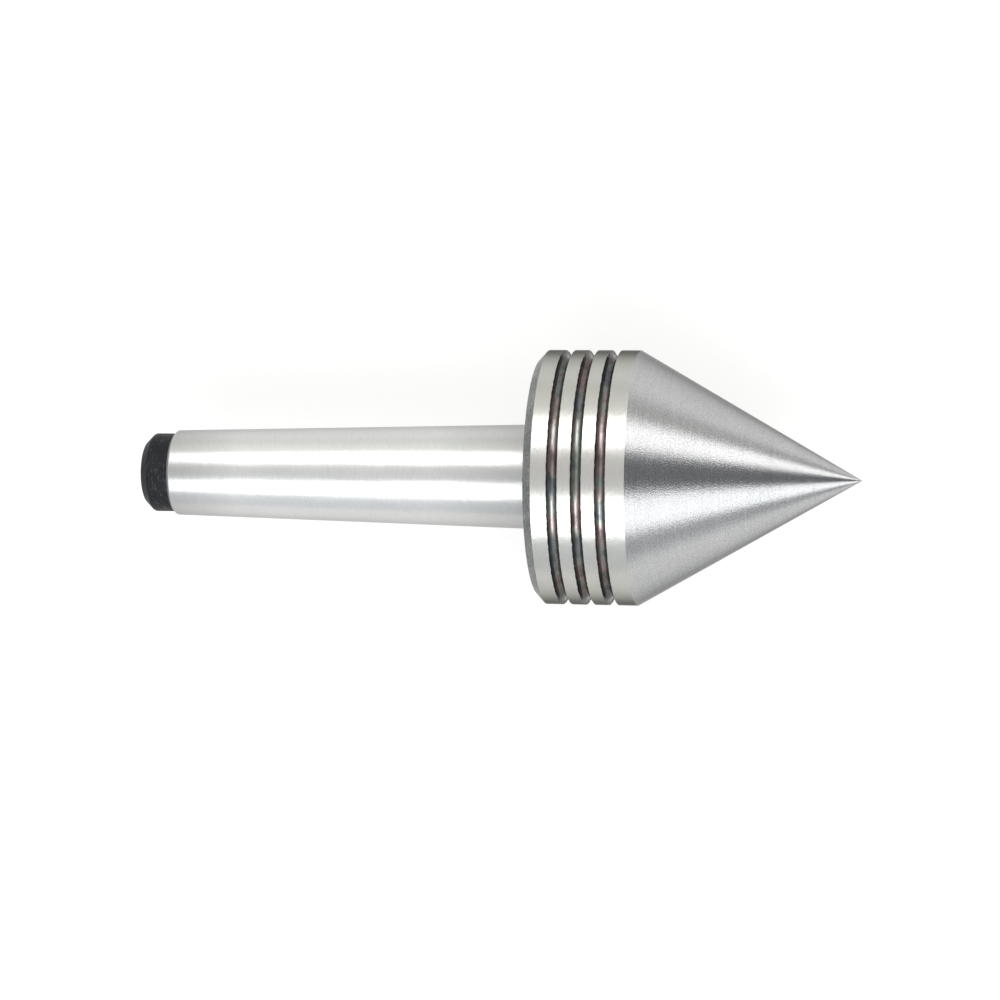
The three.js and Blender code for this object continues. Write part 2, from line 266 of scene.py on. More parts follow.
class Shading(Nodes):
    """A material's node tree, with the patterns that its finish is made of."""

    def __init__(self, name):
        self.material = bpy.data.materials.new(name)
        self.material.use_nodes = True
        super().__init__(self.material.node_tree)
        self.shader = self.tree.nodes["Principled BSDF"]
        self.place = self.tree.nodes.new("ShaderNodeTexCoord").outputs["Object"]

    def math(self, operation, first, second):
        node = self.tree.nodes.new("ShaderNodeMath")
        node.operation = operation
        self.feed(node.inputs[0], first)
        self.feed(node.inputs[1], second)
        return node.outputs[0]

    def mixed(self, first, second, share):
        """The sum of two patterns, where share is how much of it is the first."""
        return self.math("ADD", self.math("MULTIPLY", first, share), self.math("MULTIPLY", second, 1 - share))

    def noise(self, along, across, detail=2.0, roughness=0.5, shift=0.0):
        """Noise that repeats so many times per millimetre along the turning axis and across it."""
        spread = self.tree.nodes.new("ShaderNodeVectorMath")
        spread.operation = "MULTIPLY_ADD"
        self.feed(spread.inputs[0], self.place)
        self.feed(spread.inputs[1], (along / MM, across / MM, across / MM))
        self.feed(spread.inputs[2], (shift, shift, shift))
        node = self.tree.nodes.new("ShaderNodeTexNoise")
        node.inputs["Scale"].default_value = 1
        node.inputs["Detail"].default_value = detail
        node.inputs["Roughness"].default_value = roughness
        self.feed(node.inputs["Vector"], spread.outputs[0])
        return node.outputs["Fac"]

    def span(self, start, end):
        """How far along X a place lies between two others, from 0 to 1."""
        return self.range(self.along(self.place, (1, 0, 0)), start * MM, end * MM)

    def painted_slant_shade(self, stops):
        """Painted shade: a ramp over how far the surface turns from facing the eye, darkening it at a slant.
        """
        node = self.tree.nodes.new("ShaderNodeLayerWeight")
        node.inputs["Blend"].default_value = 0.5
        return self.ramp(node.outputs["Facing"], stops)

    def bump(self, height, depth, under=None):
        """A relief of the given depth in millimetres."""
        node = self.tree.nodes.new("ShaderNodeBump")
        node.inputs["Strength"].default_value = 1
        node.inputs["Distance"].default_value = depth * MM
        self.feed(node.inputs["Height"], height)
        if under is not None:
            self.feed(node.inputs["Normal"], under)
        return node.outputs["Normal"]

    def round_tangent(self):
        """The direction round the turning axis, for marks that circle it."""
        node = self.tree.nodes.new("ShaderNodeTangent")
        node.direction_type = "RADIAL"
        node.axis = "X"
        return node.outputs["Tangent"]

    def set(self, **values):
        for name, value in values.items():
            self.feed(self.shader.inputs[name.replace("_", " ")], value)


# ---- Studio ----

FLOOR_SIZE = 12
FLOOR_ALBEDO = 0.26
FLOOR_GLOW = 0.675
FLOOR_GLOW_COLOR = (1, 1, 0.985, 1)
SOFTBOX_DISTANCE = 0.7
SOFTBOX_ENDS = (-36, 62)
SOFTBOX_UPPER = (25.6, 55.5)
SOFTBOX_LOWER = (-55, -16.5)
SOFTBOX_RADIANCE = 1.8
UPPER_COLOR = (1, 0.995, 0.985)
LOWER_COLOR = (0.985, 0.995, 1)
CORE_ENDS = (-10, 17)
CORE_MARGIN = 5
CORE_RADIANCE = 4.7

# The world's light, as (place, colour). LOW_LIGHT and OVERHEAD_LIGHT run from the shank's side at -1 to the
# point's at 1, SIDE_LIGHT from below the part in the picture to above it, and OVERHEAD_START is where the low
# light turns into the overhead one, as the share of a direction that points to the camera.
LOW_LIGHT = [(-0.6, grey(1.1)), (-0.2, grey(1.0)), (0.15, grey(0.84)), (0.5, grey(0.58))]
OVERHEAD_LIGHT = [
    (-0.5, grey(0.85)),
    (-0.38, grey(1.25)),
    (-0.1, grey(0.95)),
    (0.2, grey(0.4)),
    (0.4, (0.18, 0.186, 0.2)),
    (0.9, (0.18, 0.186, 0.2)),
]
OVERHEAD_START = (0.38, 0.62)
SIDE_LIGHT = [
    (-1.0, (0.93, 0.96, 1.0)),
    (-0.9, (0.98, 1.01, 1.05)),
    (-0.5, (0.98, 1.0, 1.02)),
    (0.0, (1.0, 0.995, 1.01)),
    (0.75, (1.1, 1.1, 1.07)),
    (0.92, (1.22, 1.23, 1.18)),
    (1.0, (1.0, 1.01, 0.96)),
]


def add_softbox(name, span, ends, radiance, color):
    """An area light beside the camera. span is the angles from the view axis that it fills across the part,
    and ends the angles where it starts and stops along the part."""
    right, up, back = camera_axes()
    low, high = (math.radians(angle) for angle in span)
    left_end, right_end = (SOFTBOX_DISTANCE * math.tan(math.radians(angle)) for angle in ends)
    middle = (low + high) / 2
    towards = up * math.sin(middle) + back * math.cos(middle)
    data = bpy.data.lights.new(name, "AREA")
    data.shape = "RECTANGLE"
    data.color = color
    data.size = right_end - left_end
    data.size_y = 2 * SOFTBOX_DISTANCE * math.tan((high - low) / 2)
    data.energy = radiance * math.pi * data.size * data.size_y
    light = bpy.data.objects.new(name, data)
    place = towards * SOFTBOX_DISTANCE + right * (left_end + right_end) / 2
    light.matrix_world = Matrix.Translation(place) @ facing(right, towards.cross(right), towards)
    light.visible_camera = False
    bpy.context.scene.collection.objects.link(light)


def add_lamp(name, span, color):
    """A long softbox with a brighter core in its middle."""
    low, high = span
    add_softbox(f"{name}_softbox", span, SOFTBOX_ENDS, SOFTBOX_RADIANCE, color)
    add_softbox(f"{name}_core", (low + CORE_MARGIN, high - CORE_MARGIN), CORE_ENDS, CORE_RADIANCE, color)


def add_floor():
    half = FLOOR_SIZE / 2
    corners = [(-half, -half), (half, -half), (half, half), (-half, half)]
    mesh = bpy.data.meshes.new("floor")
    mesh.from_pydata([(x, y, head_low.z * MM) for x, y in corners], [], [(0, 1, 2, 3)])
    floor = bpy.data.objects.new("floor", mesh)
    material = bpy.data.materials.new("floor")
    material.use_nodes = True
    shader = material.node_tree.nodes["Principled BSDF"]
    shader.inputs["Base Color"].default_value = (*grey(FLOOR_ALBEDO), 1)
    shader.inputs["Roughness"].default_value = 1
    shader.inputs["Specular IOR Level"].default_value = 0
    shader.inputs["Emission Color"].default_value = FLOOR_GLOW_COLOR
    shader.inputs["Emission Strength"].default_value = FLOOR_GLOW
    mesh.materials.append(material)
    bpy.context.scene.collection.objects.link(floor)


def add_world():
    """Soft light from all round: bright low down, and darker overhead towards the point's side."""
    right, up, back = camera_axes()
    world = bpy.data.worlds.new("studio")
    world.use_nodes = True
    bpy.context.scene.world = world
    nodes = Nodes(world.node_tree)
    way = nodes.tree.nodes.new("ShaderNodeTexCoord").outputs["Generated"]

    def levels(axis, stops):
        share = nodes.range(nodes.along(way, axis), -1, 1)
        return nodes.ramp(share, [((place + 1) / 2, color) for place, color in stops])

    lift = nodes.range(nodes.along(way, back), *OVERHEAD_START, kind="SMOOTHSTEP")
    level = nodes.blend("MIX", lift, levels(right, LOW_LIGHT), levels(right, OVERHEAD_LIGHT))
    color = nodes.blend("MULTIPLY", 1, level, levels(up, SIDE_LIGHT))
    nodes.feed(nodes.tree.nodes["Background"].inputs["Color"], color)


# ---- Outlines ----

# A corner is (x, radius, fillet, zone), and its zone is that of the stretch after it. Outlines keep the metal
# on their right, so an outer face runs towards +X. Zones number a piece's materials.


def rounded(corners, closed=False):
    """Points along an outline with each corner rounded, as (x, radius, normal x, normal radius, zone)."""
    count = len(corners)
    points = []
    for i, (x, r, fillet, zone) in enumerate(corners):
        here = Vector((x, r))
        before = corners[i - 1] if closed or i > 0 else None
        after = corners[(i + 1) % count] if closed or i < count - 1 else None
        if before is None or after is None:
            way = Vector(after[:2]) - here if before is None else here - Vector(before[:2])
            way.normalize()
            points.append((x, r, -way.y, way.x, zone))
            continue
        come = (here - Vector(before[:2])).normalized()
        go = (Vector(after[:2]) - here).normalized()
        turn = math.atan2(come.cross(go), come.dot(go))
        bend = max(abs(math.tan(turn / 2)), LEAST_BEND)
        room = FILLET_SHARE * min((here - Vector(before[:2])).length, (Vector(after[:2]) - here).length)
        radius = min(fillet, room / bend)
        left = Vector((-come.y, come.x))
        side = 1 if turn > 0 else -1
        centre = here - come * radius * bend + left * side * radius
        steps = max(2, math.ceil(abs(turn) / FILLET_TURN))
        for step in range(steps + 1):
            swing = Matrix.Rotation(turn * step / steps, 2)
            spot = centre - swing @ left * side * radius
            normal = swing @ left
            points.append((spot.x, spot.y, normal.x, normal.y, zone if step == steps else before[3]))
    return points


def arc(centre, radius, first, last, steps, zone):
    """Corners that wrap an arc, each rounded to its radius. Angles are from +X towards larger radius."""
    step = (last - first) / steps
    reach = radius / math.cos(step / 2)
    corners = []
    for i in range(steps):
        angle = first + (i + 0.5) * step
        x = centre[0] + reach * math.cos(angle)
        r = centre[1] + reach * math.sin(angle)
        corners.append((x, r, radius, zone))
    return corners


# ---- Meshes ----


def add_piece(name, mesh, materials):
    for material in materials:
        mesh.materials.append(material)
    piece = bpy.data.objects.new(name, mesh)
    bpy.context.scene.collection.objects.link(piece)
    return piece


def lathe(name, points, segments, materials, closed=False, wobble=None):
    """Turns an outline round the X axis into one mesh with true normals. wobble shifts a point along X."""
    verts, normals, rings = [], [], []
    for x, r, nx, nr, _zone in points:
        on_axis = r < ON_AXIS
        ring = []
        for j in range(1 if on_axis else segments):
            angle = 2 * math.pi * j / segments
            shift = wobble(x, r, angle) if wobble else 0
            ring.append(len(verts))
            cosine, sine = math.cos(angle), math.sin(angle)
            verts.append(Vector((x + shift, r * cosine, r * sine)) * MM)
            normals.append((math.copysign(1, nx), 0, 0) if on_axis else (nx, nr * cosine, nr * sine))
        rings.append(ring * segments if on_axis else ring)
    faces, zones = [], []
    for i in range(len(points) if closed else len(points) - 1):
        low, high = rings[i], rings[(i + 1) % len(points)]
        for j in range(segments):
            k = (j + 1) % segments
            face = list(dict.fromkeys((low[j], low[k], high[k], high[j])))
            faces.append(face)
            zones.append(points[i][4])
    mesh = bpy.data.meshes.new(name)
    mesh.from_pydata(verts, [], faces)
    mesh.polygons.foreach_set("material_index", zones)
    mesh.polygons.foreach_set("use_smooth", [True] * len(faces))
    mesh.normals_split_custom_set_from_vertices(normals)
    return add_piece(name, mesh, materials)


def circle(radius, steps=RING_SEGMENTS):
    turns = [2 * math.pi * i / steps for i in range(steps)]
    return [(radius * math.cos(turn), radius * math.sin(turn)) for turn in turns]


def plate(name, outline, holes, x, thick, bevel, materials):
    """A flat plate across the axis, from x to x + thick, with round holes and bevelled edges. An outline is a
    list of (y, z), and a hole is (y, z, radius)."""
    curve = bpy.data.curves.new(name, "CURVE")
    curve.dimensions = "2D"
    curve.fill_mode = "BOTH"
    curve.extrude = (thick / 2 - bevel) * MM
    curve.bevel_depth = bevel * MM
    curve.bevel_resolution = BEVEL_STEPS
    curve.offset = -bevel * MM
    rounds = []
    for y, z, radius in holes:
        steps = max(HOLE_STEPS_LEAST, int(radius * HOLE_STEPS_PER_MM))
        rounds.append([(y + across, z + up) for across, up in circle(radius, steps)])
    for loop in [outline, *rounds]:
        spline = curve.splines.new("POLY")
        spline.points.add(len(loop) - 1)
        spline.use_cyclic_u = True
        for point, (y, z) in zip(spline.points, loop):
            point.co = (y * MM, z * MM, 0, 1)
    shape = bpy.data.objects.new(name, curve)
    bpy.context.scene.collection.objects.link(shape)
    graph = bpy.context.evaluated_depsgraph_get()
    mesh = bpy.data.meshes.new_from_object(shape.evaluated_get(graph))
    bpy.data.objects.remove(shape)
    bpy.data.curves.remove(curve)
    upright = Matrix(((0, 0, 1, (x + thick / 2) * MM), (1, 0, 0, 0), (0, 1, 0, 0), (0, 0, 0, 1)))
    mesh.transform(upright)
    shell = bmesh.new()
    shell.from_mesh(mesh)
    bmesh.ops.remove_doubles(shell, verts=shell.verts, dist=WELD_REACH * MM)
    bmesh.ops.dissolve_degenerate(shell, edges=shell.edges, dist=WELD_REACH * MM)
    shell.to_mesh(mesh)
    shell.free()
    mesh.materials.clear()
    mesh.polygons.foreach_set("use_smooth", [True] * len(mesh.polygons))
    mesh.set_sharp_from_angle(angle=SHARP_TURN)
    return add_piece(name, mesh, materials)


def stand_for(piece, body, node):
    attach(piece, body)
    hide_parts(node)


# ---- Finishes ----


def turned_steel(name, color, rough, lay, depth, contrast, edge_tint=0.15, painted_shade=None, wave=0.01):
    """Steel ground or turned round its axis. lay is how often its marks repeat along and across the axis, per
    millimetre. depth and wave are the heights of the marks and of slow unevenness. painted_shade is the start
    and end of a ramp of painted shade along the axis, with its stops: a brightness that multiplies the tone."""
    s = Shading(name)
    marks = s.noise(*lay, 2, 0.6)
    streaks = s.noise(3.2, 0.1, 3, 0.6)
    cloud = s.noise(0.12, 0.12, 2)
    low, high = shades(color, 1 - contrast, 1 + contrast)
    tone = s.ramp(s.mixed(marks, streaks, 0.8), [(0.35, low), (0.65, high)])
    tone = s.blend("MULTIPLY", 1, tone, s.ramp(cloud, [(0.3, (0.95, 0.96, 0.95)), (0.7, grey(1))]))
    # Painted shade: a ramp of brightness along the axis darkens the tone where shade falls.
    if painted_shade:
        start, end, stops = painted_shade
        shaded_ramp = s.ramp(s.span(start, end), [(place, grey(level)) for place, level in stops])
        tone = s.blend("MULTIPLY", 1, tone, shaded_ramp)
    s.set(
        Base_Color=tone,
        Metallic=1.0,
        Roughness=s.range(streaks, 0.3, 0.7, rough - 0.015, rough + 0.015),
        Anisotropic=0.75,
        Anisotropic_Rotation=0.25,
        Specular_Tint=(*grey(edge_tint), 1),
        Tangent=s.round_tangent(),
        Normal=s.bump(marks, depth, s.bump(s.noise(0.04, 0.35, 2), wave)),
    )
    return s.material


def scale_grey():
    """The dull grey-green skin left on the rear face and chamfer, mottled and with bright specks."""
    s = Shading("scale_grey")
    spots = s.noise(1.9, 1.9, 4, 0.65)
    cloud = s.noise(0.2, 0.2, 3, 0.6)
    specks = s.math("GREATER_THAN", s.noise(3.0, 1.5, 2, 0.6, 7), 0.69)
    tone = s.ramp(spots, [
        (0.3, (0.115, 0.125, 0.123)),
        (0.55, (0.19, 0.2, 0.197)),
        (0.72, (0.27, 0.28, 0.275)),
    ])
    clouded = s.ramp(cloud, [(0.35, (0.7, 0.72, 0.75)), (0.6, (1.05, 1.05, 1.0))])
    tone = s.blend("MULTIPLY", 1, tone, clouded)
    s.set(
        Base_Color=s.blend("MIX", specks, tone, (0.42, 0.43, 0.42, 1)),
        Metallic=0.8,
        Roughness=s.range(spots, 0.3, 0.7, 0.5, 0.4),
        Normal=s.bump(spots, 0.03),
    )
    return s.material


def groove_oxide():
    """Temper colours in the grip grooves: mauve brown, blue green and violet grey, drifting along them."""
    s = Shading("groove_oxide")
    drift = s.noise(0.35, 0.2, 1.5, 0.5, 3)
    lines = s.noise(5.0, 0.35, 3, 0.6)
    soot = s.noise(0.9, 0.5, 3, 0.65, 11)
    tint = s.ramp(drift, [
        (0.30, (0.18, 0.175, 0.19)),
        (0.40, (0.165, 0.195, 0.195)),
        (0.47, (0.22, 0.235, 0.21)),
        (0.54, (0.26, 0.215, 0.205)),
        (0.62, (0.24, 0.185, 0.185)),
        (0.72, (0.16, 0.155, 0.14)),
    ])
    tint = s.blend("MULTIPLY", 1, tint, s.ramp(soot, [(0.36, grey(0.6)), (0.55, grey(1))]))
    s.set(
        # Painted shade: the grooves' walls, and the grooves near the outline, darken where they turn from the
        # eye.
        Base_Color=s.blend("MULTIPLY", 1, tint, s.painted_slant_shade([(0.15, grey(1)), (0.45, grey(0.62))])),
        Metallic=0.75,
        Roughness=s.range(lines, 0.3, 0.7, 0.14, 0.24),
        Anisotropic=0.5,
        Anisotropic_Rotation=0.25,
        Specular_Tint=(*grey(0.3), 1),
        Tangent=s.round_tangent(),
        Normal=s.bump(lines, 0.02),
    )
    return s.material


def black_oxide():
    """The dark skin of the shank's unground end, lightly scratched round."""
    s = Shading("black_oxide")
    scratches = s.noise(4.0, 0.4, 4, 0.7)
    spots = s.noise(1.8, 1.2, 3, 0.6, 5)
    s.set(
        Base_Color=s.ramp(s.mixed(scratches, spots, 0.6), [
            (0.35, (0.007, 0.008, 0.009)),
            (0.56, (0.013, 0.014, 0.016)),
            (0.68, (0.08, 0.084, 0.088)),
        ]),
        Specular_IOR_Level=0.1,
        Roughness=s.range(spots, 0.3, 0.7, 0.4, 0.58),
        Normal=s.bump(scratches, 0.03),
    )
    return s.material


def polished_steel():
    """Hardened and lapped steel for rings, washers and balls."""
    s = Shading("polished_steel")
    haze = s.noise(1.5, 1.5, 3, 0.6)
    s.set(
        Base_Color=s.ramp(haze, [(0.35, (0.60, 0.61, 0.62)), (0.65, (0.66, 0.67, 0.68))]),
        Metallic=1.0,
        Roughness=s.range(haze, 0.3, 0.7, 0.12, 0.2),
    )
    return s.material


def pressed_steel():
    """Thin rolled sheet for the shields and the two ribbon cages."""
    s = Shading("pressed_steel")
    grain = s.noise(3.0, 3.0, 3, 0.6)
    s.set(
        Base_Color=s.ramp(grain, [(0.35, (0.44, 0.43, 0.41)), (0.65, (0.53, 0.52, 0.50))]),
        Metallic=1.0,
        Roughness=s.range(grain, 0.3, 0.7, 0.32, 0.42),
        Normal=s.bump(grain, 0.008),
    )
    return s.material


def spring_steel():
    """Phosphated spring steel: nearly black, with a fine dry grain that is brighter in small spots."""
    s = Shading("spring_steel")
    grain = s.noise(4.0, 4.0, 3, 0.6)
    s.set(
        Base_Color=s.ramp(grain, [
            (0.35, (0.035, 0.035, 0.038)),
            (0.62, (0.06, 0.06, 0.063)),
            (0.75, grey(0.14)),
        ]),
        Metallic=0.7,
        Roughness=s.range(grain, 0.3, 0.7, 0.42, 0.55),
        Normal=s.bump(grain, 0.012),
    )
    return s.material


def turned_brass():
    """Brass of the thrust bearing's cage, with faint tool marks."""
    s = Shading("turned_brass")
    lines = s.noise(0.4, 2.5, 3, 0.6)
    s.set(
        Base_Color=s.ramp(lines, [(0.35, (0.50, 0.36, 0.16)), (0.65, (0.60, 0.44, 0.21))]),
        Metallic=1.0,
        Roughness=s.range(lines, 0.3, 0.7, 0.26, 0.36),
        Normal=s.bump(lines, 0.008),
    )
    return s.material


def nitrile_rubber():
    """Moulded black rubber of the seals, with a faint dusty bloom."""
    s = Shading("nitrile_rubber")
    bloom = s.noise(0.8, 0.8, 4, 0.6)
    grain = s.noise(5.0, 5.0, 2, 0.6)
    s.set(
        Base_Color=s.ramp(bloom, [(0.35, (0.012, 0.012, 0.013)), (0.7, (0.026, 0.026, 0.027))]),
        Roughness=s.range(bloom, 0.3, 0.7, 0.5, 0.68),
        Normal=s.bump(grain, 0.01),
    )
    return s.material


# ---- Tapered shank ----

# The taper's brightness as (place, share), from the shank's small end at 0 to the head's rear face at 1. It
# is darker just past the small end, and painted shade darkens it towards the head's rear face, which shades
# it.
TAPER_PAINTED_SHADE = [(0.09, 0.75), (0.25, 1.0), (0.75, 1.0), (0.87, 0.87), (1.0, 0.71)]


def taper_radius(x):
    return GAUGE_RADIUS + TAPER * x


def circlip_groove(circlip, radius, zone):
    start = nose(circlip["start"])
    end = start + circlip["thick"] + 2 * CIRCLIP_ROOM
    return [
        (start, radius, EDGE, zone),
        (start, circlip["groove"], EDGE, zone),
        (end, circlip["groove"], EDGE, zone),
        (end, radius, EDGE, zone),
    ]


def centre_hole(mouth, way, hole, zone):
    """A 60-degree center hole with its pilot, from tip to mouth. way is 1 or -1, into the metal."""
    end = mouth + way * hole["depth"]
    return [
        (end + way * hole["tip"], 0, 0, zone),
        (end, hole["pilot"], EDGE, zone),
        (mouth + way * hole["cone"], hole["pilot"], EDGE, zone),
        (mouth, hole["mouth"], EDGE, zone),
    ]


def add_shank():
    black, taper, journal = range(3)
    tail_top = SHANK_END + TAIL_LENGTH
    taper_start = tail_top + TAIL_SHOULDER
    stub_radius = FRONT_BEARING["bore"]
    outline = [
        *centre_hole(SHANK_END, 1, TAIL_CENTRE_HOLE, black),
        (SHANK_END, TAIL_RADIUS - TAIL_CHAMFER, TAIL_FILLETS[0], black),
        (SHANK_END + TAIL_CHAMFER, TAIL_RADIUS, TAIL_FILLETS[1], black),
        (tail_top, TAIL_RADIUS, EDGE, taper),
        (taper_start, taper_radius(taper_start), SHOULDER_FILLET, taper),
        (TAPER_OVERRUN, taper_radius(TAPER_OVERRUN), EDGE, journal),
        (TAPER_OVERRUN + COLLAR_STEP, COLLAR_RADIUS, EDGE, journal),
        (nose(COLLAR_END), COLLAR_RADIUS, EDGE, journal),
        (nose(COLLAR_END), REAR_BEARING["bore"], EDGE, journal),
        *circlip_groove(JOURNAL_CIRCLIP, REAR_BEARING["bore"], journal),
        (nose(JOURNAL_END), REAR_BEARING["bore"], EDGE, journal),
        (nose(JOURNAL_END), THRUST_BEARING["bore"], EDGE, journal),
        (nose(THRUST_JOURNAL_END), THRUST_BEARING["bore"], EDGE, journal),
        (nose(THRUST_JOURNAL_END), stub_radius, EDGE, journal),
        *circlip_groove(STUB_CIRCLIP, stub_radius, journal),
        (STUB_END - STUB_CHAMFER, stub_radius, EDGE, journal),
        (STUB_END, stub_radius - STUB_CHAMFER, EDGE, journal),
        *reversed(centre_hole(STUB_END, -1, STUB_CENTRE_HOLE, journal)),
    ]
    piece = lathe("shank", rounded(outline), SHANK_SEGMENTS, [
        black_oxide(),
        turned_steel(
            "ground_taper", (0.635, 0.635, 0.63), rough=0.33, lay=(4.5, 0.9), depth=0.03, contrast=0.04,
            # Painted shade darkens the taper towards the head's rear face.
            edge_tint=0.7, painted_shade=(SHANK_END, nose(0), TAPER_PAINTED_SHADE), wave=0.05,
        ),
        turned_steel(
            "ground_journal", grey(0.58), rough=0.3, lay=(4.5, 0.5), depth=0.03, contrast=0.05,
        ),
    ])
    stand_for(piece, "arbor", "tapered_shank")


# ---- Head ----

# The grooves' edges are made ragged by noise over a circle. Chips fade over CHIP_REACH along X on both sides
# of an edge and stop CHIP_DEPTH below the surface. CHIP_SIZES are for a groove's rear and front edge.
CHIP_REACH = 0.13
CHIP_DEPTH = 0.45
CHIP_SIZES = (0.07, 0.042)
CHIP_CIRCLE = 22
CHIP_SPREAD = 3
CHIP_COARSE = 1.4
CHIP_FINE = 2.9
CHIP_FINE_SHARE = 0.8
GROOVE_EDGES = [
    (nose(place) + side * GROOVE_WIDTH, CHIP_SIZES[side])
    for place in GROOVES
    for side in (0, 1)
]


def chipped(x, r, angle):
    """How far a point near a groove's edge is shifted along X, so that the edges are ragged."""
    if r < HEAD_RADIUS - CHIP_DEPTH:
        return 0
    for edge, size in GROOVE_EDGES:
        gap = abs(x - edge)
        if gap < 2 * CHIP_REACH:
            spot = Vector((edge * CHIP_SPREAD, CHIP_CIRCLE * math.cos(angle), CHIP_CIRCLE * math.sin(angle)))
            ragged = noise.noise(spot * CHIP_COARSE) + CHIP_FINE_SHARE * noise.noise(spot * CHIP_FINE)
            return size * ragged * math.exp(-(gap / CHIP_REACH) ** 2)
    return 0


def grip_groove(place, oxide, bright):
    """A round-bottomed groove, with a short straight wall above the round."""
    start = nose(place)
    radius = GROOVE_WIDTH / 2
    centre = (start + radius, HEAD_RADIUS - GROOVE_DEPTH + radius)
    return [
        (start, HEAD_RADIUS, EDGE, oxide),
        *arc(centre, radius, math.pi, 2 * math.pi, GROOVE_STEPS, oxide),
        (start + GROOVE_WIDTH, HEAD_RADIUS, EDGE, bright),
    ]


def add_head():
    bright, cone, oxide, scale, bore = range(5)
    rear = REAR_BEARING["outer"] + FIT
    thrust = THRUST_BEARING["outer"] + FIT
    front = FRONT_BEARING["outer"] + FIT
    rear_end = nose(REAR_BEARING["start"] + REAR_BEARING["width"] + FACE_ROOM)
    thrust_end = nose(THRUST_BEARING["start"] + THRUST_BEARING["height"] + FACE_ROOM)
    relief_end = thrust_end - THRUST_BEARING["washer"] - 3 * FACE_ROOM
    outline = [
        (nose(CAVITY_TIP), 0, 0, bore),
        (nose(CAVITY_END), CAVITY_RADIUS, EDGE, bore),
        (nose(CAVITY_START), CAVITY_RADIUS, EDGE, bore),
        (nose(CAVITY_START), front, EDGE, bore),
        (thrust_end, front, EDGE, bore),
        (thrust_end, thrust, EDGE, bore),
        (relief_end, thrust, EDGE, bore),
        (relief_end, THRUST_RELIEF_RADIUS, EDGE, bore),
        (rear_end, THRUST_RELIEF_RADIUS, EDGE, bore),
        (rear_end, rear, EDGE, bore),
        *reversed(circlip_groove(HEAD_CIRCLIP, rear, bore)),
        (nose(MOUTH_CHAMFER), rear, EDGE, bore),
        (nose(0), rear + MOUTH_CHAMFER, EDGE, scale),
        (nose(0), HEAD_RADIUS - HEAD_CHAMFER_ACROSS, HEAD_CHAMFER_FILLETS[0], scale),
        (nose(HEAD_CHAMFER_ALONG), HEAD_RADIUS, HEAD_CHAMFER_FILLETS[1], bright),
    ]
    for place in GROOVES:
        outline += grip_groove(place, oxide, bright)
    outline += [
        (CONE_EDGE, HEAD_RADIUS, CONE_EDGE_FILLET, cone),
        (POINT - TIP_ROUND, TIP_ROUND * math.tan(POINT_HALF_ANGLE), TIP_FILLET, cone),
        (POINT, 0, 0, cone),
    ]
    piece = lathe("head", rounded(outline), HEAD_SEGMENTS, [
        turned_steel(
            "ground_cylinder", (0.515, 0.51, 0.485), rough=0.32, lay=(4.5, 0.9), depth=0.03, contrast=0.035,
        ),
        turned_steel(
            "ground_point", (0.475, 0.475, 0.48), rough=0.24, lay=(4.5, 4.5), depth=0.019, contrast=0.16,
            edge_tint=0.4,
        ),
        groove_oxide(),
        scale_grey(),
        turned_steel("bored_steel", grey(0.5), rough=0.36, lay=(3.0, 0.3), depth=0.03, contrast=0.06),
    ], wobble=chipped)
    stand_for(piece, "head", "head_cone")


# ---- Bearings ----

# A seal's rim and lip stand proud of its dished middle. A ribbon cage's two halves lie RIBBON_HALF_GAP from
# the balls' plane, with RIBBON_ROOM round each ball.
RACE_STEPS = 8
RACE_FILLET = 0.1
OUTER_RING_FILLET = 0.5
INNER_RING_FILLET = 0.35
LAND_FILLET = 0.12
WASHER_STEPS = 6
WASHER_FILLET = 0.3
SEAL_LIP = 0.3
SEAL_RIM = 0.75
SEAL_SLOPE = 0.25
SEAL_DISH = 0.35
SEAL_EDGE = 0.08
SEAL_LIP_FILLET = 0.1
SEAL_RIM_FILLETS = (0.2, 0.15)
SEAL_DISH_FILLET = 0.25
RIBBON_THICK = 0.4
RIBBON_ROOM = 0.1
RIBBON_HALF_GAP = 0.03
RIBBON_STEPS = 14
RIBBON_SHARP_TURN = math.radians(40)
DRILLED_ROOM = 0.15
DRILLED_BEVEL = 0.12


def fitted_ring(name, body, corners, material, node):
    piece = lathe(name, rounded(corners, closed=True), RING_SEGMENTS, [material], closed=True)
    stand_for(piece, body, node)


def add_balls(bearing, centre, material):
    for i in range(bearing["count"]):
        turn = 2 * math.pi * i / bearing["count"]
        spot = Vector((centre, bearing["pitch"] * math.cos(turn), bearing["pitch"] * math.sin(turn)))
        mesh = bpy.data.meshes.new("ball")
        ball = bmesh.new()
        bmesh.ops.create_icosphere(ball, subdivisions=BALL_SUBDIVISIONS, radius=bearing["ball"] * MM)
        bmesh.ops.translate(ball, vec=spot * MM, verts=ball.verts)
        ball.to_mesh(mesh)
        ball.free()
        mesh.polygons.foreach_set("use_smooth", [True] * len(mesh.polygons))
        node = f"{bearing['name']}_ball_{i + 1}"
        piece = add_piece(f"smooth_{node}", mesh, [material])
        stand_for(piece, bearing["cage_body"], node)


def raceway(bearing, centre, land, side):
    """The corners of a ball race. side is 1 on an outer ring, whose land runs towards -X, else -1."""
    radius = bearing["ball"] + RACE_ROOM
    half = math.acos(abs(bearing["pitch"] - land) / radius)
    middle = side * math.pi / 2
    reach = radius * math.sin(half)
    spot = (centre, bearing["pitch"])
    return [
        (centre + side * reach, land, RACE_FILLET, 0),
        *arc(spot, radius, middle - half, middle + half, RACE_STEPS, 0),
        (centre - side * reach, land, RACE_FILLET, 0),
    ]


